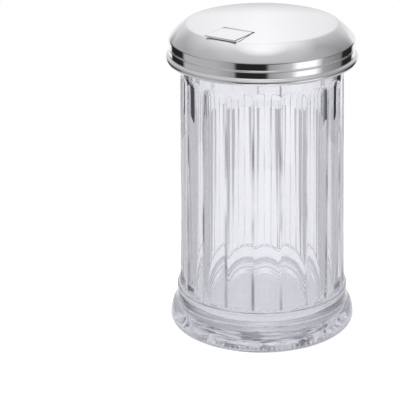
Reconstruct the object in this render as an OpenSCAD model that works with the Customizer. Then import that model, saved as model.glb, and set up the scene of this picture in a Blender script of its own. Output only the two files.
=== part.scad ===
// Sugar dispenser: a fluted glass jar with a screw-on sheet-metal lid and a gravity-closed pouring flap.
// Origin at the centre of the foot's underside, +Z up, flap towards -Y.

/* [Jar] */
// Height of the glass, table to rim
jar_h = 126.9; // [110:0.1:150]
// Radius over the ribs at the plinth's ledge
body_r = 35.65; // [30:0.05:45]
// How much narrower the plain collar and neck are
taper = 1.65; // [0.5:0.05:4]
// Height of the plain collar and neck, from the flutes' arches to the rim
collar_h = 14.5; // [12:0.1:20]
// How far the plinth ring stands out from the ribs
plinth_lip = 1.1; // [0.6:0.05:2]
// Height of the ledge on top of the plinth ring
plinth_h = 17.2; // [15:0.1:20]
// How far the foot stands out from the plinth ring
foot_reach = 3.15; // [2.5:0.05:5]
// Height of the crease where the foot's bulge meets its cove
foot_h = 8.4; // [7:0.1:10]
// Wall of the glass at the rim
rim_wall = 2.9; // [2:0.1:4]
// Wall from the ribs to the inside just above the floor's fillet
base_wall = 5.05; // [4:0.05:7]
// Height of the inside floor
floor_h = 10; // [8:0.1:13]
// Fillet between the inside wall and the floor
floor_fillet = 6; // [4:0.5:9]
// Depth of the hollow under the foot
punt_h = 1.4; // [0.8:0.1:2.5]
// Radius of the foot's lower edge
foot_edge = 2.3; // [1.5:0.1:3]
// Width of the flat ring that the foot stands on
bearing_w = 4.4; // [3:0.1:6]

/* [Flutes] */
// Number of flutes round the jar
flute_count = 19; // [16:1:22]
// Radius that each flute is dished to
dish_r = 24; // [20:1:60]
// Width left on top of each rib
rib_w = 0.6; // [0.4:0.1:1.2]
// Radius of the arch that ends each flute at the top
arch_r = 7; // [4:0.1:9]
// Radius of the flute's lower end
toe_r = 1.2; // [0.8:0.1:2]
// Turn of the nearest rib from the flap's direction
flute_turn = 7; // [-9:1:9]

/* [Lid] */
// Sheet thickness of the lid's shell
sheet = 0.5; // [0.4:0.05:0.6]
// How far the lid's upper band stands out from the sleeve
lid_over = 2.4; // [2:0.1:4]
// Spherical radius of the crown
crown_r = 420; // [250:10:700]
// Radius of the crease between crown and shoulder
crease_r = 2.5; // [1.5:0.1:4]
// Radius of the shoulder's curve
shoulder_r = 22; // [18:1:30]
// Slope of the shoulder at the crease
crease_slope = 31; // [28:1:36]
// Slope of the shoulder where it turns into the band
band_slope = 53; // [48:1:58]
// Radius of that turn
turn_r = 1.3; // [1:0.1:2.5]
// Height of the skirt, from the bead's underside to the turn
skirt_h = 8.7; // [8:0.1:10]
// Outside radius of the section of the rolled bead
bead_r = 1.3; // [1:0.05:1.6]
// How far the bead stands out from the upper band
bead_reach = 1.3; // [1:0.1:1.8]
// How far the lower band lies inside the upper band
band_inset = 0.1; // [0:0.05:0.4]

/* [Threaded sleeve] */
// Sheet thickness of the sleeve
sleeve_sheet = 0.45; // [0.35:0.05:0.5]
// Height of the neck's thread above the glass
thread_h = 1.3; // [1:0.1:1.5]
// Width of the sleeve's flange on the rim
rim_flange_w = 4.2; // [3:0.1:4.6]

/* [Flap] */
// Width of the flap's plate, along the hinge
flap_w = 14.2; // [11:0.1:17]
// Length of the plate, from the hinge outwards
flap_l = 13.1; // [12:0.1:14.5]
// Thickness of the plate
flap_t = 0.5; // [0.4:0.05:0.7]
// Distance of the hinge in from the lid's upper band
hinge_in = 20; // [18:0.1:22]
// Length of the plate's tip that lies on the shell
tip_lap = 2; // [1.5:0.1:3]
// Radius of the hinge pin
pin_r = 0.6; // [0.5:0.05:0.7]
// Width of the slot in the curled knuckle
curl_slot = 0.5; // [0.3:0.1:0.7]

/* [Bracket] */
// Sheet thickness of the bracket
bracket_t = 0.6; // [0.5:0.05:0.8]
// Depth of the pad that is welded under the crown
pad_l = 5; // [4:0.5:8]
// Width of each arm beside the opening
arm_w = 2.4; // [2:0.1:3]
// How far the arms reach past the pin
arm_reach = 2.4; // [1.6:0.1:3]
// How far the pin stands out past the arms
pin_end = 0.3; // [0.1:0.1:0.5]

/* [Clearances] */
// Gap between the sleeve's flange and the glass rim
seat_gap = 0.2; // [0.1:0.05:0.3]
// Gap between the sleeve's top and the shell above it
sleeve_gap = 0.35; // [0.25:0.05:0.6]
// Radial gap between the thread's crests and the sleeve
thread_gap = 0.35; // [0.25:0.05:0.5]
// Gap between the sleeve's lower flange and the inside of the bead
crimp_gap = 0.08; // [0.05:0.01:0.12]
// Gap round the plate in its opening
flap_gap = 0.35; // [0.25:0.05:0.5]
// Height of the plate's tip above the shell
rest_gap = 0.1; // [0.08:0.01:0.2]
// Radial running clearance of the knuckle on its pin
pin_gap = 0.05; // [0.03:0.01:0.1]
// Radial gap of the pin in the bracket's saddles
saddle_gap = 0.02; // [0.01:0.01:0.04]
// Gap between the arms and the edges of the opening
arm_gap = 0.35; // [0.2:0.05:0.6]
// Gap between the welded pad and the crown
weld_gap = 0.05; // [0.03:0.01:0.1]

/* [Hidden] */
$fn = 48;
steel = "silver";

// Points on an arc round a centre, from angle a0 to angle a1, no facet further than this from the arc
chord_err = 0.03;
function arc(centre, r, a0, a1) =
    let (steps = ceil(abs(a1 - a0) / 2 / acos(1 - chord_err / r)))
    [for (i = [0:steps]) centre + r * dir(a0 + (a1 - a0) * i / steps)];
function dir(a) = [cos(a), sin(a)];
// Unit direction of a path at point i, and its section as a strip of thickness t on the path's right
function unit(v) = v / norm(v);
function heading(p, i) = unit(p[min(i + 1, len(p) - 1)] - p[max(i - 1, 0)]);
function beside(p, i, t) = let (h = heading(p, i)) p[i] + t * [h.y, -h.x];
function on_axis(v) = [max(v.x, 0), v.y];
function strip(p, t) = concat(p, [for (i = [len(p) - 1:-1:0]) on_axis(beside(p, i, t))]);
// Angle left out at the start of an arc that carries on from another one, so that no point is doubled
skip = 4;

// Jar: its radii from the ribs out to the foot, and in to the neck and the inside
plinth_r = body_r + plinth_lip;
foot_r = plinth_r + foot_reach;
bearing_r = foot_r - foot_edge;
punt_r = bearing_r - bearing_w;
neck_r = body_r - taper;
mouth_r = neck_r - rim_wall;
rim_r = rim_wall / 2;
well_r = body_r - base_wall;
flute_top = jar_h - collar_h;

// The foot's bulge and cove, from their ends
bulge_slope = 29;
bulge_r = (foot_h - foot_edge) / sin(bulge_slope);
crease_x = foot_r - bulge_r * (1 - cos(bulge_slope));
cove_turn = 46;
cove_r = (crease_x - plinth_r) / (1 - cos(cove_turn));
cove_z = foot_h + cove_r * sin(cove_turn);

// Flutes: radius over the ribs and in mid-flute at a height, and the dishing cylinder's lean
function rib_at(z) = body_r + (neck_r - body_r) * (z - plinth_h) / (flute_top - plinth_h);
function half_chord(r) = r * sin(180 / flute_count) - rib_w / 2;
function mid_at(r) = let (c = half_chord(r)) sqrt(r * r - c * c) - dish_r + sqrt(dish_r * dish_r - c * c);
flute_sunk = 0.4;
slice_play = 0.3;
slice_depth = 4;
flute_fn = 60;
flute_z = plinth_h + flute_sunk;
flute_len = flute_top - flute_z;
mid_low = mid_at(rib_at(flute_z));
mid_high = mid_at(rib_at(flute_top));
flute_lean = atan((mid_low - mid_high) / flute_len);
arch_rise = sqrt(2 * arch_r * (rib_at(flute_top) - mid_high));
arch_sweep = 50;

// Sleeve and lid: their radii, from the neck outwards
sleeve_r = neck_r + thread_h + thread_gap + sleeve_sheet;
lid_r = sleeve_r + lid_over;

// Centres of the shell's arcs, measured from the foot of its turn
shoulder_x = lid_r - turn_r - (shoulder_r - turn_r) * sin(band_slope);
shoulder_dz = -(shoulder_r - turn_r) * cos(band_slope);
crease_cx = shoulder_x + (shoulder_r - crease_r) * sin(crease_slope);
crease_dz = shoulder_dz + (shoulder_r - crease_r) * cos(crease_slope);
crown_slope = asin(crease_cx / (crown_r - crease_r));
crown_dz = crease_dz - (crown_r - crease_r) * cos(crown_slope);

// The sleeve's top lies close under the shell, which sets the shell's height on the jar
sleeve_top = jar_h + seat_gap + sleeve_sheet;
shoulder_in = shoulder_r - sheet;
turn_z = sleeve_top + sleeve_gap - shoulder_dz
    - sqrt(shoulder_in * shoulder_in - (sleeve_r - shoulder_x) * (sleeve_r - shoulder_x));
skirt_z = turn_z - skirt_h;
bead_at = [lid_r + bead_reach - bead_r, skirt_z + bead_r];
bead_start = 75;
bead_end = -150;

// Skirt: a narrow groove between the upper and the lower band, which ends on the bead
band_h = 2.6;
groove_h = 0.35;
groove = 0.35;
step_h = 0.35;
bead_rise = 0.3;
band_foot = turn_z - band_h;
groove_z = band_foot - groove_h;
step_z = groove_z - step_h;
lower_foot = bead_at.y + bead_r + bead_rise;

// Sleeve's lower flange, level with the bead's centre, and the bends of its section
crimp_top = bead_at.y + sleeve_sheet / 2;
crimp_half = bead_r - sheet - crimp_gap;
sleeve_lip = bead_at.x + sqrt(crimp_half * crimp_half - sleeve_sheet * sleeve_sheet / 4);
rim_bend = 0.8;
lip_bend = 0.5;

// Opening's width, the bracket's arms on each side of it, and the pin across them
hole_w = flap_w + 2 * flap_gap;
arm_x = hole_w / 2 + arm_gap;
pad_w = 2 * (arm_x + arm_w);
pin_w = pad_w + 2 * pin_end;

// Flap: its level plate lies on the shell at its tip, and its pin runs close under the crown
function crown_at(r) = turn_z + crown_dz + sqrt(crown_r * crown_r - r * r);
hinge_y = lid_r - hinge_in;
tip_y = hinge_y + flap_l;
hole_far = tip_y - tip_lap;
plate_z = crown_at(hole_far) + rest_gap;
knuckle_r = pin_r + pin_gap + flap_t;
curl_drop = 0.03;
pin_top = crown_at(norm([pin_w / 2, hinge_y + pin_r])) - sheet - weld_gap;
pin_z = min(plate_z + flap_t - curl_drop - knuckle_r, pin_top - pin_r);
hole_near = hinge_y - (plate_z + flap_t - pin_z) - flap_gap;
knuckle_inset = 0.6;
knuckle_w = flap_w - 2 * knuckle_inset;

// Bracket: its pad lies behind the opening
pad_near = hole_near - arm_gap;
saddle_r = pin_r + saddle_gap + bracket_t;

// How far a cutter stands past what it cuts, and how far one goes that passes right through the crown
cut = 1;
through = 4;

// Outline of the jar's section, from the axis under the foot, up outside and down inside
function jar_outline() = concat(
    [[0, punt_h], [punt_r - 2 * punt_h, punt_h], [punt_r, 0]],
    arc([bearing_r, foot_edge], foot_edge, -90, 0),
    arc([foot_r - bulge_r, foot_edge], bulge_r, skip, bulge_slope),
    arc([plinth_r + cove_r, cove_z], cove_r, 180 + cove_turn - skip, 180),
    arc([body_r, plinth_h - plinth_lip], plinth_lip, 0, 90),
    [[neck_r, flute_top]],
    arc([neck_r - rim_r, jar_h - rim_r], rim_r, 0, 180),
    arc([well_r - floor_fillet, floor_h + floor_fillet], floor_fillet, 0, -90),
    [[0, floor_h]]);

// One flute's cutter: a slice of the dishing cylinder with a rounded toe and an arched top
module flute() {
    slice = asin(half_chord(body_r) / dish_r) + slice_play;
    core_r = dish_r - slice_depth;
    arch_z = flute_len - arch_rise;
    translate([mid_low + dish_r, 0, flute_z])
        rotate([0, -flute_lean, 0])
            rotate([0, 0, 180 - slice])
                rotate_extrude(angle = 2 * slice, $fn = flute_fn)
                    polygon(concat(
                        [[core_r, 0]],
                        arc([dish_r - toe_r, toe_r], toe_r, -90, 0),
                        arc([dish_r - arch_r, arch_z], arch_r, 0, arch_sweep),
                        [[core_r, arch_z + arch_r * sin(arch_sweep)]]));
}

module jar() {
    color("lightcyan", 0.5)
        difference() {
            rotate_extrude() polygon(jar_outline());
            for (i = [0:flute_count - 1])
                rotate([0, 0, flute_turn - 90 + (i + 0.5) * 360 / flute_count]) flute();
        }
}

// Outer face of the lid's sheet, from the crown's centre round the rolled bead
function shell_path() = concat(
    arc([0, turn_z + crown_dz], crown_r, 90, 90 - crown_slope),
    arc([crease_cx, turn_z + crease_dz], crease_r, 90 - crown_slope - skip, 90 - crease_slope),
    arc([shoulder_x, turn_z + shoulder_dz], shoulder_r, 90 - crease_slope - skip, 90 - band_slope),
    arc([lid_r - turn_r, turn_z], turn_r, 90 - band_slope - skip, 0),
    [[lid_r, band_foot], [lid_r - groove, groove_z], [lid_r - band_inset, step_z],
     [lid_r - band_inset, lower_foot]],
    arc(bead_at, bead_r, bead_start, bead_end));

module lid_shell() {
    color(steel)
        difference() {
            rotate_extrude() polygon(strip(shell_path(), sheet));
            translate([-hole_w / 2, -hole_far, plate_z - through])
                cube([hole_w, hole_far - hole_near, 2 * through]);
        }
}

// Outer face of the sleeve's sheet: flange on the rim, wall, and flange held in the bead
function sleeve_path() = concat(
    [[sleeve_r - rim_flange_w, sleeve_top]],
    arc([sleeve_r - rim_bend, sleeve_top - rim_bend], rim_bend, 90, 0),
    arc([sleeve_r + lip_bend, crimp_top + lip_bend], lip_bend, 180, 270),
    [[sleeve_lip, crimp_top]]);

module threaded_sleeve() {
    color(steel) rotate_extrude() polygon(strip(sleeve_path(), sleeve_sheet));
}

module along_hinge(r, w) {
    translate([-w / 2, -hinge_y, pin_z]) rotate([0, 90, 0]) cylinder(r = r, h = w);
}

module flap() {
    color("gainsboro")
        difference() {
            union() {
                translate([-flap_w / 2, -tip_y, plate_z]) cube([flap_w, flap_l, flap_t]);
                along_hinge(knuckle_r, knuckle_w);
            }
            along_hinge(pin_r + pin_gap, flap_w + 2 * cut);
            translate([-flap_w / 2 - cut, -hinge_y - knuckle_r - cut, plate_z - curl_slot])
                cube([flap_w + 2 * cut, knuckle_r + cut, curl_slot]);
        }
}

module hinge_pin() {
    color(steel) along_hinge(pin_r, pin_w);
}

// A sheet of the depth given along the crown's underside, or everything below it when the depth is 0
module under_crown(depth) {
    crown = arc([0, turn_z + crown_dz], crown_r - sheet - weld_gap, 90, 90 - crown_slope);
    floor_z = pin_z - through;
    rotate_extrude()
        polygon(depth > 0 ? strip(crown, depth)
                          : concat(crown, [[crown[len(crown) - 1].x, floor_z], [0, floor_z]]));
}

// Outline of the bracket from above: pad and arms
module bracket_plan() {
    translate([-pad_w / 2, -pad_near]) square([pad_w, pad_l]);
    for (side = [0, 1])
        mirror([side, 0])
            translate([arm_x, -hinge_y - arm_reach]) square([arm_w, hinge_y + arm_reach - pad_near + cut]);
}

// Sheet along the crown's underside, pressed down round each end of the pin
module hinge_bracket() {
    color(steel)
        difference() {
            union() {
                intersection() {
                    under_crown(bracket_t);
                    translate([0, 0, pin_z - through]) linear_extrude(2 * through) bracket_plan();
                }
                intersection() {
                    under_crown(0);
                    difference() {
                        along_hinge(saddle_r, pad_w);
                        along_hinge(2 * saddle_r, 2 * arm_x);
                    }
                }
            }
            along_hinge(pin_r + saddle_gap, pad_w + 2 * cut);
            translate([-pad_w / 2 - cut, -hinge_y - pin_r - saddle_gap, pin_z])
                cube([pad_w + 2 * cut, 2 * (pin_r + saddle_gap), through]);
        }
}

jar();
lid_shell();
threaded_sleeve();
flap();
hinge_pin();
hinge_bracket();
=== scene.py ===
# Sugar dispenser with flap: surfaces, materials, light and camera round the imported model
import bpy
import bmesh
from math import asin, atan2, ceil, cos, exp, hypot, pi, radians, sin, sqrt
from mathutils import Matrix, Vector


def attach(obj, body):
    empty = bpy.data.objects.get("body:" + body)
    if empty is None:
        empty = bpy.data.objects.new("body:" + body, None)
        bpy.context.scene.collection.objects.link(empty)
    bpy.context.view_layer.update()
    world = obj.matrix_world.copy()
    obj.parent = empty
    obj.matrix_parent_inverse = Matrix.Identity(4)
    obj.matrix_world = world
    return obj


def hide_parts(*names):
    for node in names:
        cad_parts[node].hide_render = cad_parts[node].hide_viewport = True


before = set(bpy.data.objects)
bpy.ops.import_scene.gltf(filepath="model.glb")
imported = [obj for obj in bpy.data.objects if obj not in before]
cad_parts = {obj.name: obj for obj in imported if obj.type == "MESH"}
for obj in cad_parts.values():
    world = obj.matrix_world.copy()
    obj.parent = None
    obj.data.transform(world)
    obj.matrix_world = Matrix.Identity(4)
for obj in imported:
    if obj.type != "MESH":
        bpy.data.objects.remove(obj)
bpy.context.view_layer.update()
mm = 0.001
print("frame loaded:", sorted(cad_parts))


# shared ways of shaping

def arcPoints(centre, radius, start, end, count):  # points on an arc, in mm, angles in degrees
    turns = [radians(start + (end - start) * i / count) for i in range(count + 1)]
    return [(centre[0] + radius * cos(a), centre[1] + radius * sin(a)) for a in turns]


def refine(points, longest):  # extra points on long stretches
    fine = [points[0]]
    for (x0, y0), (x1, y1) in zip(points, points[1:]):
        count = max(1, ceil(hypot(x1 - x0, y1 - y0) / longest))
        fine += [(x0 + (x1 - x0) * i / count, y0 + (y1 - y0) * i / count) for i in range(1, count + 1)]
    return fine


def soften(points, rounds):  # cuts the corners between the ends
    for _ in range(rounds):
        cut = [points[0]]
        for (x0, y0), (x1, y1) in zip(points, points[1:]):
            cut.append((0.75 * x0 + 0.25 * x1, 0.75 * y0 + 0.25 * y1))
            cut.append((0.25 * x0 + 0.75 * x1, 0.25 * y0 + 0.75 * y1))
        points = cut + [points[-1]]
    return points


def beside(points, thickness):  # the same path, one sheet's thickness to its right
    path = []
    for i, (x, y) in enumerate(points):
        x0, y0 = points[max(i - 1, 0)]
        x1, y1 = points[min(i + 1, len(points) - 1)]
        run = hypot(x1 - x0, y1 - y0)
        path.append((max(x + thickness * (y1 - y0) / run, 0), y - thickness * (x1 - x0) / run))
    return path


def sheetSection(points, thickness):  # out along the path and back beside it
    return points + beside(points, thickness)[::-1]


def revolve(points, columns, closed=False):  # spins a section in mm round the axis
    bm = bmesh.new()
    ring = [bm.verts.new((r * mm, 0, z * mm)) for r, z in points]
    edges = [bm.edges.new(pair) for pair in zip(ring, ring[1:])]
    if closed:
        edges.append(bm.edges.new((ring[-1], ring[0])))
    bmesh.ops.spin(bm, geom=ring + edges, cent=(0, 0, 0), axis=(0, 0, 1), dvec=(0, 0, 0), angle=2 * pi,
                   steps=columns, use_merge=True, use_normal_flip=False, use_duplicate=False)
    bmesh.ops.remove_doubles(bm, verts=bm.verts, dist=2e-6)
    bmesh.ops.recalc_face_normals(bm, faces=bm.faces)
    return bm


def finishPiece(bm, name, material, body, node, sharp=35):  # mesh to object, shaded, riding and named
    for face in bm.faces:
        face.smooth = True
    for edge in bm.edges:
        edge.smooth = len(edge.link_faces) != 2 or edge.calc_face_angle(0) < radians(sharp)
    mesh = bpy.data.meshes.new(name)
    bm.to_mesh(mesh)
    bm.free()
    piece = bpy.data.objects.new(name, mesh)
    bpy.context.scene.collection.objects.link(piece)
    mesh.materials.append(material)
    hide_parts(node)
    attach(piece, body)
    print("made", name, "with", len(mesh.polygons), "faces")
    return piece


# materials

def blankMaterial(name):
    material = bpy.data.materials.new(name)
    material.use_nodes = True
    material.node_tree.nodes.clear()
    return material, material.node_tree


def node(tree, kind, **settings):
    made = tree.nodes.new(kind)
    for name, value in settings.items():
        setattr(made, name, value)
    return made


def link(tree, fromSocket, toSocket):
    tree.links.new(fromSocket, toSocket)


def calculate(tree, operation, first, second=None):  # a Math node on sockets or plain numbers
    made = node(tree, "ShaderNodeMath", operation=operation)
    for i, value in enumerate((first, second)):
        if isinstance(value, (int, float)):
            made.inputs[i].default_value = value
        elif value is not None:
            link(tree, value, made.inputs[i])
    return made.outputs[0]


def remap(tree, value, low, high, first=0, last=1, curve="LINEAR"):  # low to high becomes first to last
    made = node(tree, "ShaderNodeMapRange", interpolation_type=curve)
    for name, number in (("From Min", low), ("From Max", high), ("To Min", first), ("To Max", last)):
        made.inputs[name].default_value = number
    link(tree, value, made.inputs["Value"])
    return made.outputs["Result"]


def noise(tree, vector, scale, detail):
    made = node(tree, "ShaderNodeTexNoise")
    made.inputs["Scale"].default_value = scale
    made.inputs["Detail"].default_value = detail
    link(tree, vector, made.inputs["Vector"])
    return made.outputs["Fac"]


def bumpFrom(tree, height, strength, distance):
    made = node(tree, "ShaderNodeBump")
    made.inputs["Strength"].default_value = strength
    made.inputs["Distance"].default_value = distance
    link(tree, height, made.inputs["Height"])
    return made.outputs["Normal"]


def mapping(tree, vector, name, value):  # turns or stretches a pattern's coordinates
    made = node(tree, "ShaderNodeMapping")
    made.inputs[name].default_value = value
    link(tree, vector, made.inputs["Vector"])
    return made.outputs["Vector"]


def ramp(tree, stops):  # a colour ramp from a list of places and colours
    made = node(tree, "ShaderNodeValToRGB")
    elements = made.color_ramp.elements
    elements[0].position, elements[0].color = stops[0]
    elements[1].position, elements[1].color = stops[-1]
    for place, colour in stops[1:-1]:
        elements.new(place).color = colour
    return made


# the jar's sizes, in mm and degrees; the painted shade lines in its glass follow them too
jarShape = {
    "height": 126.9, "bodyRadius": 35.65, "taper": 1.65, "collar": 14.5,
    "plinthLip": 1.1, "plinthHeight": 17.2, "footReach": 3.15, "footHeight": 8.4, "footEdge": 2.3,
    "bulgeSlope": 29, "coveTurn": 46, "rimWall": 2.9, "baseWall": 5.05,
    "floor": 10, "floorFillet": 6, "punt": 1.4, "bearing": 4.4,
    "flutes": 19, "dish": 24, "rib": 0.6, "arch": 7, "toe": 1.2, "toeLift": 0.4, "fluteTurn": 7,
    "edgeSoftness": 0.28,  # how far the rounding of a rib's edges reaches
    "columnsPerFlute": 24, "crowding": 0.55,  # columns gather at the ribs
    "gatherStart": 9, "gatherRise": 8,  # from this level on, over this height
    "toeRows": (2.6, 0.2), "archRows": (7, 0.28),  # height of a stretch of close rows, and their distance
    "collarRows": (3.4, 0.6), "wallRow": 5, "neckRow": 0.33,
    "overArch": 0.5, "overCollar": 3,  # above the flutes: how far they still cut, and where the thread may begin
    "threadHeight": 1.3, "threadWidth": 0.75, "threadPitch": 4.2, "threadStart": 117.6, "threadTurns": 1.35,
    "threadFade": 0.06,  # share of a turn over which the ridge rises
    "knurls": 114, "knurlDepth": 0.16, "knurlFade": 0.6,  # nicks round the foot's edge
    "knurlFoot": 0.9, "knurlTop": 3.6,
}

glassLook = {
    "tint": (0.925, 0.927, 0.947, 1),
    "body": (0, 0.01, 0.14, 1), "bodyDensity": 6,  # what the glass itself keeps back along a path, per metre
    "lamplight": (0.93, 0.93, 0.95, 1),  # what a lamp's light keeps on its way through
    "ior": 1.5,
    "clearest": 0.0,
    "dullest": 0.035,  # where the mould left the skin a little rough
    "skinScale": 60, "skinDetail": 3, "skinRange": (0.5, 0.8),
    "stretch": (1, 1, 0.09),  # ripple and flecks are drawn out along the jar, as the plunger leaves them
    "waveScale": 190, "waveDetail": 1.5, "waveStrength": 0.35,
    "wave": 0.00026,  # height of the pressed surface's ripple, in metres
    "deepest": 3.5,  # a ray that the glass has turned back this often shows a painted glint: the glow below, in place of the light it would still gather
    "paintedGlint": [(0.36, (0.25, 0.25, 0.28, 1)), (0.5, (0.66, 0.66, 0.7, 1)), (0.62, (1, 1, 1, 1))],
    "paintedGlintScale": 110, "paintedGlintDetail": 2.5,
    "paintedShadeLine": (0.1, 0.1, 0.13, 1),  # painted shade: the ribs' edges show darker, as dark lines painted into the glass's colour
    "shadeLineWidth": (0.012, 0.085),  # where a line is full and where it has faded, as shares of a flute's width
    "shadeLineBreak": 38, "shadeLineBreakDetail": 1, "shadeLineBreakRange": (0.75, 0.35),  # the lines swell and fade along the rib
    "shadeLineOutside": (0.0326, 0.0318), "shadeLineTop": (0.106, 0.110), "shadeLineFoot": (0.0185, 0.0175),  # in metres
}


def paintedShadeLines(tree, coordinates, jar, s):  # the tint, with painted shade: darker in a thin broken line along each rib
    def fading(value, ends):  # 1 at the first end, 0 at the second
        return remap(tree, value, ends[0], ends[1], 1, 0, "SMOOTHSTEP")

    around = node(tree, "ShaderNodeTexGradient", gradient_type="RADIAL")
    turned = mapping(tree, coordinates, "Rotation", (0, 0, radians(90 - jar["fluteTurn"])))
    link(tree, turned, around.inputs["Vector"])
    parts = node(tree, "ShaderNodeSeparateXYZ")
    link(tree, coordinates, parts.inputs["Vector"])
    flute = calculate(tree, "FRACT", calculate(tree, "MULTIPLY", around.outputs["Fac"], jar["flutes"]))
    offRib = calculate(tree, "ABSOLUTE", calculate(tree, "SUBTRACT", flute, 0.5))
    squares = [calculate(tree, "POWER", parts.outputs[axis], 2) for axis in ("X", "Y")]
    radius = calculate(tree, "SQRT", calculate(tree, "ADD", *squares))
    broken = noise(tree, coordinates, s["shadeLineBreak"], s["shadeLineBreakDetail"])
    line = calculate(tree, "MULTIPLY", fading(offRib, s["shadeLineWidth"]), fading(broken, s["shadeLineBreakRange"]))
    line = calculate(tree, "MULTIPLY", line, fading(radius, s["shadeLineOutside"]))
    line = calculate(tree, "MULTIPLY", line, fading(parts.outputs["Z"], s["shadeLineTop"]))
    line = calculate(tree, "MULTIPLY", line, fading(parts.outputs["Z"], s["shadeLineFoot"]))
    # painted shade: along the ribs the tint turns towards the dark line colour
    tint = node(tree, "ShaderNodeMix", data_type="RGBA")
    tint.inputs[6].default_value = s["tint"]
    tint.inputs[7].default_value = s["paintedShadeLine"]
    link(tree, line, tint.inputs["Factor"])
    return tint.outputs[2]


def pressedGlass(s, jar):
    material, tree = blankMaterial("pressed glass")
    where = node(tree, "ShaderNodeTexCoord").outputs["Object"]
    rays = node(tree, "ShaderNodeLightPath")
    drawn = mapping(tree, where, "Scale", s["stretch"])
    ripple = noise(tree, drawn, s["waveScale"], s["waveDetail"])
    skin = noise(tree, where, s["skinScale"], s["skinDetail"])
    glass = node(tree, "ShaderNodeBsdfPrincipled")
    glass.inputs["IOR"].default_value = s["ior"]
    glass.inputs["Transmission Weight"].default_value = 1
    # the glass's colour carries the painted shade lines along the ribs
    link(tree, paintedShadeLines(tree, where, jar, s), glass.inputs["Base Color"])
    link(tree, remap(tree, skin, *s["skinRange"], s["clearest"], s["dullest"]), glass.inputs["Roughness"])
    link(tree, bumpFrom(tree, ripple, s["waveStrength"], s["wave"]), glass.inputs["Normal"])
    # painted glint: a speckled grey to white glow standing in for light
    paintedGlint = ramp(tree, s["paintedGlint"])
    link(tree, noise(tree, drawn, s["paintedGlintScale"], s["paintedGlintDetail"]), paintedGlint.inputs["Fac"])
    glow = node(tree, "ShaderNodeEmission")
    link(tree, paintedGlint.outputs["Color"], glow.inputs["Color"])
    inside = node(tree, "ShaderNodeMixShader")  # the glass, or a painted glint that glows, for a ray lost inside it
    lost = calculate(tree, "GREATER_THAN", rays.outputs["Glossy Depth"], s["deepest"])
    link(tree, lost, inside.inputs["Fac"])
    link(tree, glass.outputs["BSDF"], inside.inputs[1])
    link(tree, glow.outputs["Emission"], inside.inputs[2])
    through = node(tree, "ShaderNodeBsdfTransparent")
    through.inputs["Color"].default_value = s["lamplight"]
    mix = node(tree, "ShaderNodeMixShader")
    link(tree, rays.outputs["Is Shadow Ray"], mix.inputs["Fac"])
    link(tree, inside.outputs["Shader"], mix.inputs[1])
    link(tree, through.outputs["BSDF"], mix.inputs[2])
    body = node(tree, "ShaderNodeVolumeAbsorption")
    body.inputs["Color"].default_value = s["body"]
    body.inputs["Density"].default_value = s["bodyDensity"]
    out = node(tree, "ShaderNodeOutputMaterial")
    link(tree, mix.outputs["Shader"], out.inputs["Surface"])
    link(tree, body.outputs["Volume"], out.inputs["Volume"])
    return material


steelLook = {
    "cloudScale": 45, "cloudDetail": 4, "cloudRange": (0.3, 0.7),  # slow change of tone and polish
    "markDetail": 2, "markStrength": 0.25,  # fine marks of the polishing wheel
    "markDensity": 2600, "markLength": 120,
}
# colour, the darker tone in it, smoothest and roughest, height of the marks in metres,
# and whether they run round the axis
steelFinishes = {
    "polished lid steel": ((0.86, 0.86, 0.875, 1), (0.80, 0.80, 0.82, 1), 0.05, 0.09, 2e-6, True),
    "polished flap steel": ((0.84, 0.84, 0.855, 1), (0.78, 0.78, 0.80, 1), 0.10, 0.16, 3e-6, False),
    "drawn sleeve steel": ((0.72, 0.72, 0.73, 1), (0.60, 0.60, 0.62, 1), 0.22, 0.34, 6e-6, True),
    "plain bracket steel": ((0.68, 0.68, 0.69, 1), (0.56, 0.56, 0.58, 1), 0.28, 0.40, 8e-6, False),
    "drawn wire": ((0.64, 0.64, 0.65, 1), (0.52, 0.52, 0.54, 1), 0.24, 0.36, 8e-6, False),
}


def marksRound(tree, where, density):  # coordinates that change with radius and height only
    parts = node(tree, "ShaderNodeSeparateXYZ")
    flat = node(tree, "ShaderNodeVectorMath", operation="MULTIPLY")
    flat.inputs[1].default_value = (1, 1, 0)
    reach = node(tree, "ShaderNodeVectorMath", operation="LENGTH")
    both = node(tree, "ShaderNodeCombineXYZ")
    scale = node(tree, "ShaderNodeVectorMath", operation="SCALE")
    scale.inputs["Scale"].default_value = density
    link(tree, where, flat.inputs[0])
    link(tree, flat.outputs["Vector"], reach.inputs[0])
    link(tree, where, parts.inputs["Vector"])
    link(tree, reach.outputs["Value"], both.inputs["X"])
    link(tree, parts.outputs["Z"], both.inputs["Z"])
    link(tree, both.outputs["Vector"], scale.inputs[0])
    return scale.outputs["Vector"]


def sheetSteel(name, s):  # stainless sheet or wire, polished or plain
    colour, darker, smoothest, roughest, height, spun = steelFinishes[name]
    material, tree = blankMaterial(name)
    where = node(tree, "ShaderNodeTexCoord").outputs["Object"]
    steel = node(tree, "ShaderNodeBsdfPrincipled")
    steel.inputs["Metallic"].default_value = 1
    cloud = noise(tree, where, s["cloudScale"], s["cloudDetail"])
    tone = node(tree, "ShaderNodeMix", data_type="RGBA")
    tone.inputs[6].default_value = darker
    tone.inputs[7].default_value = colour
    link(tree, cloud, tone.inputs["Factor"])
    link(tree, tone.outputs[2], steel.inputs["Base Color"])
    link(tree, remap(tree, cloud, *s["cloudRange"], smoothest, roughest), steel.inputs["Roughness"])
    if spun:
        lines = marksRound(tree, where, s["markDensity"])
    else:  # the marks run along the hinge
        lines = mapping(tree, where, "Scale", (s["markLength"], s["markDensity"], s["markDensity"]))
    marks = noise(tree, lines, 1, s["markDetail"])
    link(tree, bumpFrom(tree, marks, s["markStrength"], height), steel.inputs["Normal"])
    out = node(tree, "ShaderNodeOutputMaterial")
    link(tree, steel.outputs["BSDF"], out.inputs["Surface"])
    return material


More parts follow.
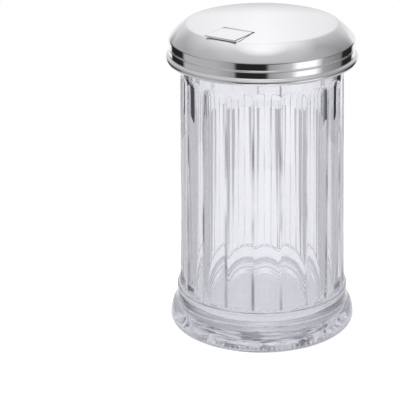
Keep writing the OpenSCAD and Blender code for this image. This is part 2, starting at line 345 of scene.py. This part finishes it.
glassMaterial = pressedGlass(glassLook, jarShape)
lidMaterial = sheetSteel("polished lid steel", steelLook)
flapMaterial = sheetSteel("polished flap steel", steelLook)
sleeveMaterial = sheetSteel("drawn sleeve steel", steelLook)
bracketMaterial = sheetSteel("plain bracket steel", steelLook)
pinMaterial = sheetSteel("drawn wire", steelLook)
print("materials made")


# jar: spun from its section, then fluted, threaded and knurled by moving its points

def jarSection(s):
    plinth = s["bodyRadius"] + s["plinthLip"]
    foot = plinth + s["footReach"]
    ring = foot - s["footEdge"]
    punt = ring - s["bearing"]
    neck = s["bodyRadius"] - s["taper"]
    fluteTop = s["height"] - s["collar"]
    rim = s["rimWall"] / 2
    bulge = (s["footHeight"] - s["footEdge"]) / sin(radians(s["bulgeSlope"]))
    crease = foot - bulge * (1 - cos(radians(s["bulgeSlope"])))
    cove = (crease - plinth) / (1 - cos(radians(s["coveTurn"])))
    coveTop = s["footHeight"] + cove * sin(radians(s["coveTurn"]))
    under = refine([(0, s["punt"]), (punt - 2 * s["punt"], s["punt"])], 6)
    under += refine([(punt, 0), (ring, 0)], 0.6)
    footSide = arcPoints((ring, s["footEdge"]), s["footEdge"], -90, 0, 12)[1:]
    footSide += arcPoints((foot - bulge, s["footEdge"]), bulge, 0, s["bulgeSlope"], 16)[1:]
    footSide += arcPoints((plinth + cove, coveTop), cove, 180 + s["coveTurn"], 180, 10)[1:]
    footSide += [(plinth, (coveTop + s["plinthHeight"] - s["plinthLip"]) / 2)]
    footSide += arcPoints((s["bodyRadius"], s["plinthHeight"] - s["plinthLip"]), s["plinthLip"], 0, 90, 8)
    wallFoot, wallTop = (s["bodyRadius"], s["plinthHeight"]), (neck, fluteTop)
    toeHeight, toeRow = s["toeRows"]
    archHeight, archRow = s["archRows"]
    collarHeight, collarRow = s["collarRows"]

    def onWall(z):
        share = (z - wallFoot[1]) / (wallTop[1] - wallFoot[1])
        return (wallFoot[0] + (wallTop[0] - wallFoot[0]) * share, z)

    wall = refine([onWall(wallFoot[1]), onWall(wallFoot[1] + toeHeight)], toeRow)[1:]
    wall += refine([onWall(wallFoot[1] + toeHeight), onWall(fluteTop - archHeight)], s["wallRow"])[1:]
    wall += refine([onWall(fluteTop - archHeight), wallTop], archRow)[1:]
    wall += refine([wallTop, (neck, fluteTop + collarHeight)], collarRow)[1:]
    wall += refine([(neck, fluteTop + collarHeight), (neck, s["height"] - rim)], s["neckRow"])[1:]
    lip = arcPoints((neck - rim, s["height"] - rim), rim, 0, 180, 14)[1:]
    well = s["bodyRadius"] - s["baseWall"]
    inside = refine([lip[-1], (well, s["floor"] + s["floorFillet"])], 9)[1:]
    inside += arcPoints((well - s["floorFillet"], s["floor"] + s["floorFillet"]), s["floorFillet"], 0, -90, 10)[1:]
    inside += refine([(well - s["floorFillet"], s["floor"]), (0, s["floor"])], 5)[1:]
    return under + footSide + wall + lip + inside


def softMin(a, b, reach):
    share = min(max(0.5 + 0.5 * (b - a) / reach, 0), 1)
    return b * (1 - share) + a * share - reach * share * (1 - share)


def ridgeAt(turn, z, s):  # height of the neck's thread at an angle and a level
    height = 0
    for k in (0, 1):
        along = turn / (2 * pi) + k
        if 0 <= along <= s["threadTurns"]:
            fade = min(along, s["threadTurns"] - along, s["threadFade"]) / s["threadFade"]
            away = (z - s["threadStart"] - s["threadPitch"] * along) / s["threadWidth"]
            height = max(height, s["threadHeight"] * fade * exp(-away * away))
    return height


def makeJar(s):
    bm = revolve(jarSection(s), s["flutes"] * s["columnsPerFlute"])
    step = 2 * pi / s["flutes"]
    neck = s["bodyRadius"] - s["taper"]
    fluteTop = s["height"] - s["collar"]
    fluteFoot = s["plinthHeight"] + s["toeLift"]
    length = fluteTop - fluteFoot

    def ribRadius(z):
        return s["bodyRadius"] - s["taper"] * (z - s["plinthHeight"]) / (fluteTop - s["plinthHeight"])

    def middle(r):  # radius in mid-flute
        half = r * sin(step / 2) - s["rib"] / 2
        return sqrt(r * r - half * half) - s["dish"] + sqrt(s["dish"] ** 2 - half * half)

    low, high = middle(ribRadius(fluteFoot)), middle(ribRadius(fluteTop))
    archFoot = length - sqrt(2 * s["arch"] * (ribRadius(fluteTop) - high))
    insideEdge = neck - s["rimWall"] / 2
    for v in bm.verts:
        r, turn, z = hypot(v.co.x, v.co.y) / mm, atan2(v.co.y, v.co.x), v.co.z / mm
        if r < 1e-4:
            continue
        gather = min(max((z - s["gatherStart"]) / s["gatherRise"], 0), 1)
        turn -= gather * s["crowding"] / s["flutes"] * sin(s["flutes"] * turn)
        if r > insideEdge and fluteFoot < z < fluteTop + s["overArch"]:
            offRib = (turn + step / 2) % step - step / 2
            side = step / 2 - abs(offRib)
            up = z - fluteFoot
            dish = s["dish"]
            if up < s["toe"]:
                dish += sqrt(s["toe"] ** 2 - (s["toe"] - up) ** 2) - s["toe"]
            if up > archFoot:
                dish += sqrt(max(s["arch"] ** 2 - (up - archFoot) ** 2, 0)) - s["arch"]
            centre = low + (high - low) * up / length + s["dish"]
            cut = centre * cos(side) - sqrt(dish * dish - (centre * sin(side)) ** 2)
            r = softMin(r, cut, s["edgeSoftness"])
        if r > insideEdge and z > fluteTop + s["overCollar"]:
            r += ridgeAt(turn % (2 * pi), z, s)
        if s["knurlFoot"] < z < s["knurlTop"] and r > s["bodyRadius"]:
            fade = min(min(z - s["knurlFoot"], s["knurlTop"] - z) / s["knurlFade"], 1)
            r -= s["knurlDepth"] * fade * (0.5 - 0.5 * cos(s["knurls"] * turn))
        turn += radians(s["fluteTurn"] - 90)
        v.co = Vector((r * cos(turn), r * sin(turn), z)) * mm
    bmesh.ops.recalc_face_normals(bm, faces=bm.faces)
    return finishPiece(bm, "glassJar", glassMaterial, "jar", "jar", sharp=50)


makeJar(jarShape)


# lid shell: one sheet from the crown to the rolled bead, with the pouring opening cut in it

lidShape = {
    "sheet": 0.5, "radius": 38.5, "crown": 420, "crease": 2.5, "shoulder": 22, "creaseSlope": 31, "bandSlope": 53,
    "turn": 1.3, "turnHeight": 125.387, "skirt": 8.7, "bead": 1.3, "beadReach": 1.3, "beadRise": 0.3,
    "band": 2.6, "grooveHeight": 0.35, "groove": 0.35, "stepHeight": 0.35, "bandInset": 0.1,
    "rollStart": 75, "rollEnd": -150, "corner": 0.4, "beadCorner": 0.3, "columns": 240,
    "openingHalf": 7.45, "openingNear": 16.88, "openingFar": 29.6, "openingFloor": 126, "cutReach": 6,
}


def lidPath(s):
    turnX = s["radius"] - s["turn"]
    level = s["turnHeight"]
    shoulderX = turnX - (s["shoulder"] - s["turn"]) * sin(radians(s["bandSlope"]))
    shoulderZ = level - (s["shoulder"] - s["turn"]) * cos(radians(s["bandSlope"]))
    creaseX = shoulderX + (s["shoulder"] - s["crease"]) * sin(radians(s["creaseSlope"]))
    creaseZ = shoulderZ + (s["shoulder"] - s["crease"]) * cos(radians(s["creaseSlope"]))
    slope = asin(creaseX / (s["crown"] - s["crease"]))
    crownZ = creaseZ - (s["crown"] - s["crease"]) * cos(slope)
    slope = slope * 180 / pi
    path = arcPoints((0, crownZ), s["crown"], 90, 90 - slope, 22)
    path += arcPoints((creaseX, creaseZ), s["crease"], 90 - slope, 90 - s["creaseSlope"], 10)[1:]
    path += arcPoints((shoulderX, shoulderZ), s["shoulder"], 90 - s["creaseSlope"], 90 - s["bandSlope"], 14)[1:]
    path += arcPoints((turnX, level), s["turn"], 90 - s["bandSlope"], 0, 12)[1:]
    skirtFoot = level - s["skirt"]
    bead = (s["radius"] + s["beadReach"] - s["bead"], skirtFoot + s["bead"])
    roll = arcPoints(bead, s["bead"], s["rollStart"], s["rollEnd"], 28)
    bandFoot = level - s["band"]
    lower = s["radius"] - s["bandInset"]
    foot = bead[1] + s["bead"] + s["beadRise"]
    stepFoot = bandFoot - s["grooveHeight"] - s["stepHeight"]
    skirt = [path[-1], (s["radius"], bandFoot + s["corner"]), (s["radius"], bandFoot),
             (s["radius"] - s["groove"], bandFoot - s["grooveHeight"]),
             (lower, stepFoot), (lower, stepFoot - s["corner"]),
             (lower, foot + s["beadCorner"]), (lower, foot), roll[0]]
    return path + soften(skirt, 2)[1:] + roll[1:]


def cutOpening(bm, s):  # punches a rectangle through both faces of the crown
    half, near, far = s["openingHalf"], s["openingNear"], s["openingFar"]

    def faces(margin):
        found = []
        for f in bm.faces:
            c = f.calc_center_median() / mm
            if c.z > s["openingFloor"] and abs(c.x) < half + margin and -far - margin < c.y < -near + margin:
                found.append(f)
        return found

    across, along = (1, 0, 0), (0, 1, 0)
    cuts = [((half, 0, 0), across), ((-half, 0, 0), across), ((0, -near, 0), along), ((0, -far, 0), along)]
    for place, normal in cuts:
        around = faces(s["cutReach"])
        geom = list({e for f in around for e in f.edges}) + list({v for f in around for v in f.verts}) + around
        bmesh.ops.bisect_plane(bm, geom=geom, plane_co=Vector(place) * mm, plane_no=normal, dist=1e-6)
    bmesh.ops.delete(bm, geom=faces(-0.01), context="FACES")
    rims = [e for e in bm.edges if e.is_boundary]
    bmesh.ops.bridge_loops(bm, edges=rims)


def makeLid(s):
    bm = revolve(sheetSection(lidPath(s), s["sheet"]), s["columns"])
    cutOpening(bm, s)
    bmesh.ops.recalc_face_normals(bm, faces=bm.faces)
    return finishPiece(bm, "lidShell", lidMaterial, "lid", "lid_shell")


makeLid(lidShape)


# threaded sleeve: a drawn sheet with the thread pressed into its wall

sleeveShape = {
    "sheet": 0.45, "radius": 36.1, "top": 127.55, "rimFlange": 4.2, "rimBend": 0.8, "lipBend": 0.5,
    "crimpTop": 118.212, "lip": 39.184, "wallRow": 0.3, "columns": 192,
    "pressDepth": 0.95, "pressWidth": 0.8, "pressTurns": 1.25, "pressRise": 2.2, "pressFade": 0.08,
    "plainFoot": 0.6, "plainTop": 1,  # left unpressed at both ends of the wall
}


def makeSleeve(s, thread):
    path = [(s["radius"] - s["rimFlange"], s["top"])]
    path += arcPoints((s["radius"] - s["rimBend"], s["top"] - s["rimBend"]), s["rimBend"], 90, 0, 8)
    down = arcPoints((s["radius"] + s["lipBend"], s["crimpTop"] + s["lipBend"]), s["lipBend"], 180, 270, 6)
    path += refine([path[-1], down[0]], s["wallRow"])[1:] + down[1:] + [(s["lip"], s["crimpTop"])]
    bm = revolve(sheetSection(path, s["sheet"]), s["columns"], closed=True)
    start = thread["threadStart"] - thread["threadPitch"] / 2 + s["pressRise"]
    low, high = s["crimpTop"] + s["plainFoot"], s["top"] - s["plainTop"]
    for v in bm.verts:
        r, turn, z = hypot(v.co.x, v.co.y) / mm, atan2(v.co.y, v.co.x), v.co.z / mm
        if abs(r - s["radius"] + s["sheet"] / 2) > s["sheet"] or not low < z < high:
            continue
        press = 0
        for k in (0, 1):
            along = (turn % (2 * pi)) / (2 * pi) + k
            if along <= s["pressTurns"]:
                fade = min(along, s["pressTurns"] - along, s["pressFade"]) / s["pressFade"]
                away = (z - start - thread["threadPitch"] * along) / s["pressWidth"]
                press = max(press, s["pressDepth"] * fade * exp(-away * away))
        v.co.x *= (r - press) / r
        v.co.y *= (r - press) / r
    bmesh.ops.recalc_face_normals(bm, faces=bm.faces)
    return finishPiece(bm, "threadedSleeve", sleeveMaterial, "lid", "threaded_sleeve")


makeSleeve(sleeveShape, jarShape)


# flap: one strip, flat to the hinge and curled round the pin

flapShape = {
    "width": 14.2, "length": 13.1, "sheet": 0.5, "hinge": 18.5, "top": 133.03, "pin": 131.56,
    "bend": [(0.4, 0), (0.15, 0.12), (0.03, 0.4)],  # the plate's corner: back from the knuckle, and down
    "knuckle": 1.15, "curlStart": 70, "curlEnd": 286, "curlSteps": 27,
    "inset": 0.6, "row": 1.5, "edge": 0.07, "edgeSegments": 2, "edgeSlope": 50,
}


def widen(bm, edges, reach):  # draws edges out sideways
    made = bmesh.ops.extrude_edge_only(bm, edges=edges)["geom"]
    bmesh.ops.translate(bm, vec=(reach * mm, 0, 0), verts=[g for g in made if isinstance(g, bmesh.types.BMVert)])


def makeFlap(s):
    bm = bmesh.new()
    tip, hinge = -s["hinge"] - s["length"], -s["hinge"]
    half = s["width"] / 2
    bend = [(hinge + s["knuckle"] - back, s["top"] - drop) for back, drop in s["bend"]]
    turns = arcPoints((s["pin"], hinge), s["knuckle"], s["curlStart"], s["curlEnd"], s["curlSteps"])
    curl = [(y, z) for z, y in turns]  # from the plate's corner round under the pin
    plate = refine([(tip, s["top"]), (hinge, s["top"])], s["row"])
    side = plate + bend + curl  # upper face of the strip, from its tip
    row = [bm.verts.new(Vector((-half + s["inset"], y, z)) * mm) for y, z in side]
    widen(bm, [bm.edges.new(pair) for pair in zip(row, row[1:])], s["width"] - 2 * s["inset"])
    for way in (-1, 1):  # the plate is a little wider than the curl
        end = (hinge + 0.01) * mm
        rim = [e for e in bm.edges if e.is_boundary and all(v.co.y < end and v.co.x * way > 0 for v in e.verts)]
        widen(bm, rim, way * s["inset"])
    bmesh.ops.remove_doubles(bm, verts=bm.verts, dist=1e-6)
    bmesh.ops.recalc_face_normals(bm, faces=bm.faces)
    flat = max(bm.faces, key=lambda f: abs(f.normal.z) * f.calc_area())
    if flat.normal.z < 0:
        bmesh.ops.reverse_faces(bm, faces=bm.faces)
    piece = finishPiece(bm, "flapPlate", flapMaterial, "flap", "flap")
    wall = piece.modifiers.new("sheet", "SOLIDIFY")
    wall.thickness = s["sheet"] * mm
    wall.offset = -1
    wall.use_even_offset = True
    edge = piece.modifiers.new("edges", "BEVEL")
    edge.width = s["edge"] * mm
    edge.segments = s["edgeSegments"]
    edge.limit_method = "ANGLE"
    edge.angle_limit = radians(s["edgeSlope"])
    return piece


makeFlap(flapShape)

for name, material in (("hinge_pin", pinMaterial), ("hinge_bracket", bracketMaterial)):
    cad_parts[name].material_slots[0].material = material
print("lid pieces made")


# floor, light and camera

studio = {
    "floorReach": 0.27, "floorDrop": 0.0002, "floorSides": 96,
    "floorColour": (0.88, 0.88, 0.885, 1), "floorGlow": 0.8,
    "floorMirrored": [  # the glow that glass and mirrors show, in metres across the view
        (-0.3, 0.02), (-0.06, 0.02), (-0.044, 0.5), (0.044, 0.5), (0.06, 0.02), (0.3, 0.02)],
    "frontFrom": 0.1, "frontTo": 0.5,  # where on the camera's side glass comes to show the white background
    "viewTurn": 32, "distance": 0.640, "eye": 0.30715, "pitch": 21.61,
    "lens": 144.77, "sensor": 36, "nearest": 0.05, "shift": -0.155,
}


def brightnessRamp(tree, stops, low, high):  # levels at places between low and high, a trace towards blue
    return ramp(tree, [((at - low) / (high - low), (level, level, level * 1.01, 1)) for at, level in stops])


def fromCamera(tree, vector, s):  # the camera's side comes to +X, its right to +Y
    return mapping(tree, vector, "Rotation", (0, 0, radians(90 - s["viewTurn"])))


def floorGlow(tree, s):  # the floor's glow as the camera sees it, and as a mirror or glass shows it
    rays = node(tree, "ShaderNodeLightPath")
    parts = node(tree, "ShaderNodeSeparateXYZ")
    where = node(tree, "ShaderNodeTexCoord").outputs["Object"]
    link(tree, fromCamera(tree, where, s), parts.inputs["Vector"])
    first, last = s["floorMirrored"][0][0], s["floorMirrored"][-1][0]
    flags = brightnessRamp(tree, s["floorMirrored"], first, last)
    link(tree, remap(tree, parts.outputs["Y"], first, last), flags.inputs["Fac"])
    either = calculate(tree, "MAXIMUM", rays.outputs["Is Glossy Ray"], rays.outputs["Is Transmission Ray"])
    shown = calculate(tree, "MULTIPLY", either, flags.outputs["Color"])
    seen = calculate(tree, "MULTIPLY", rays.outputs["Is Camera Ray"], s["floorGlow"])
    return calculate(tree, "MAXIMUM", seen, shown)


def makeFloor(s):
    bm = bmesh.new()
    bmesh.ops.create_circle(bm, cap_ends=True, segments=s["floorSides"], radius=s["floorReach"])
    mesh = bpy.data.meshes.new("floor")
    bm.to_mesh(mesh)
    bm.free()
    floor = bpy.data.objects.new("floor", mesh)
    bpy.context.scene.collection.objects.link(floor)
    floor.location.z = -s["floorDrop"]
    material, tree = blankMaterial("pale floor")
    paint = node(tree, "ShaderNodeBsdfDiffuse")
    paint.inputs["Color"].default_value = s["floorColour"]
    glow = node(tree, "ShaderNodeEmission")
    link(tree, floorGlow(tree, s), glow.inputs["Strength"])
    both = node(tree, "ShaderNodeAddShader")
    link(tree, paint.outputs["BSDF"], both.inputs[0])
    link(tree, glow.outputs["Emission"], both.inputs[1])
    out = node(tree, "ShaderNodeOutputMaterial")
    link(tree, both.outputs["Shader"], out.inputs["Surface"])
    mesh.materials.append(material)


makeFloor(studio)

# the studio's brightness by direction: rings at a height in degrees, with stops in degrees to the camera's right
studioRound = {
    "rings": [
        (-13, [(-180, 1.0), (-150, 1.0), (-145, 0.02), (-114, 0.02), (-109, 0.5), (-60, 0.5), (-35, 0.35),
               (-31, 0.02), (5, 0.02), (9, 0.35), (36, 0.6), (44, 1.2), (68, 1.2), (80, 0.4), (112, 0.22),
               (117, 0.02), (143, 0.02), (150, 1.0), (180, 1.0)]),
        (-6, [(-180, 0.98), (-152, 0.98), (-146, 0.02), (-112, 0.02), (-85, 0.08), (-60, 0.5), (-40, 0.5),
              (-25, 0.05), (20, 0.05), (35, 0.6), (68, 0.9), (84, 0.1), (112, 0.1), (117, 0.02),
              (144, 0.02), (152, 0.98), (180, 0.98)]),
        (6, [(-180, 0.7), (-160, 0.8), (-150, 0.4), (-140, 0.3), (-112, 0.3), (-80, 0.5), (-55, 0.4),
             (-30, 0.05), (25, 0.05), (45, 0.5), (90, 0.3), (115, 0.2), (135, 0.15), (150, 1.0),
             (165, 0.8), (180, 0.7)]),
        (12, [(-180, 1.06), (-172, 0.86), (-150, 0.7), (-138, 0.5), (-120, 0.42), (-80, 0.5), (-50, 0.4),
              (-30, 0.3), (30, 0.3), (55, 0.5), (95, 0.36), (115, 0.24), (135, 0.3), (150, 0.7),
              (172, 0.82), (180, 1.06)]),
        (28, [(-180, 1.14), (-172, 0.94), (-160, 0.75), (-140, 0.5), (-118, 0.42), (-90, 0.48), (-30, 0.5),
              (30, 0.5), (70, 0.5), (95, 0.42), (120, 0.32), (140, 0.5), (172, 0.84), (180, 1.14)]),
        (50, [(-180, 1.1), (-135, 0.8), (-100, 0.55), (-60, 0.55), (60, 0.55), (90, 0.5), (115, 0.45),
              (145, 0.7), (180, 1.1)]),
        (71, [(-180, 1.1), (-130, 1.0), (-90, 0.75), (-60, 0.66), (60, 0.66), (90, 0.75), (130, 1.0),
              (180, 1.1)]),
    ],
    "above": 1.15,
}


def makeWorld(s, levels):
    world = bpy.data.worlds.new("studio")
    bpy.context.scene.world = world
    world.use_nodes = True
    tree = world.node_tree
    tree.nodes.clear()
    turned = fromCamera(tree, node(tree, "ShaderNodeTexCoord").outputs["Generated"], s)
    around = node(tree, "ShaderNodeTexGradient", gradient_type="RADIAL")
    parts = node(tree, "ShaderNodeSeparateXYZ")
    link(tree, turned, around.inputs["Vector"])
    link(tree, turned, parts.inputs["Vector"])
    seen, height = None, None
    for degrees, stops in levels["rings"] + [(90, [(-180, levels["above"]), (180, levels["above"])])]:
        ring = brightnessRamp(tree, stops, -180, 180)
        link(tree, around.outputs["Fac"], ring.inputs["Fac"])
        if seen is None:
            seen, height = ring.outputs["Color"], degrees
            continue
        blend = node(tree, "ShaderNodeMix", data_type="RGBA")
        rise = remap(tree, parts.outputs["Z"], sin(radians(height)), sin(radians(degrees)))
        link(tree, rise, blend.inputs["Factor"])
        link(tree, seen, blend.inputs[6])
        link(tree, ring.outputs["Color"], blend.inputs[7])
        seen, height = blend.outputs[2], degrees
    room = node(tree, "ShaderNodeBackground")
    link(tree, seen, room.inputs["Color"])
    white = node(tree, "ShaderNodeBackground")
    white.inputs["Color"].default_value = (1, 1, 1, 1)
    rays = node(tree, "ShaderNodeLightPath")
    front = remap(tree, parts.outputs["X"], s["frontFrom"], s["frontTo"])
    clear = calculate(tree, "MULTIPLY", front, rays.outputs["Is Transmission Ray"])  # glass seen from behind
    mix = node(tree, "ShaderNodeMixShader")
    link(tree, calculate(tree, "MAXIMUM", clear, rays.outputs["Is Camera Ray"]), mix.inputs["Fac"])
    link(tree, room.outputs["Background"], mix.inputs[1])
    link(tree, white.outputs["Background"], mix.inputs[2])
    out = node(tree, "ShaderNodeOutputWorld")
    link(tree, mix.outputs["Shader"], out.inputs["Surface"])


makeWorld(studio, studioRound)


def makeCamera(s):
    camera = bpy.data.cameras.new("photo")
    camera.lens = s["lens"]
    camera.sensor_width = s["sensor"]
    camera.shift_x = s["shift"]
    camera.clip_start = s["nearest"]
    camera.dof.use_dof = False
    stand = bpy.data.objects.new("photo", camera)
    bpy.context.scene.collection.objects.link(stand)
    turn = radians(s["viewTurn"])
    stand.location = (s["distance"] * sin(turn), -s["distance"] * cos(turn), s["eye"])
    stand.rotation_euler = (radians(90 - s["pitch"]), 0, turn)
    bpy.context.scene.camera = stand


makeCamera(studio)
bpy.context.scene.view_settings.view_transform = "Standard"
print("studio made")
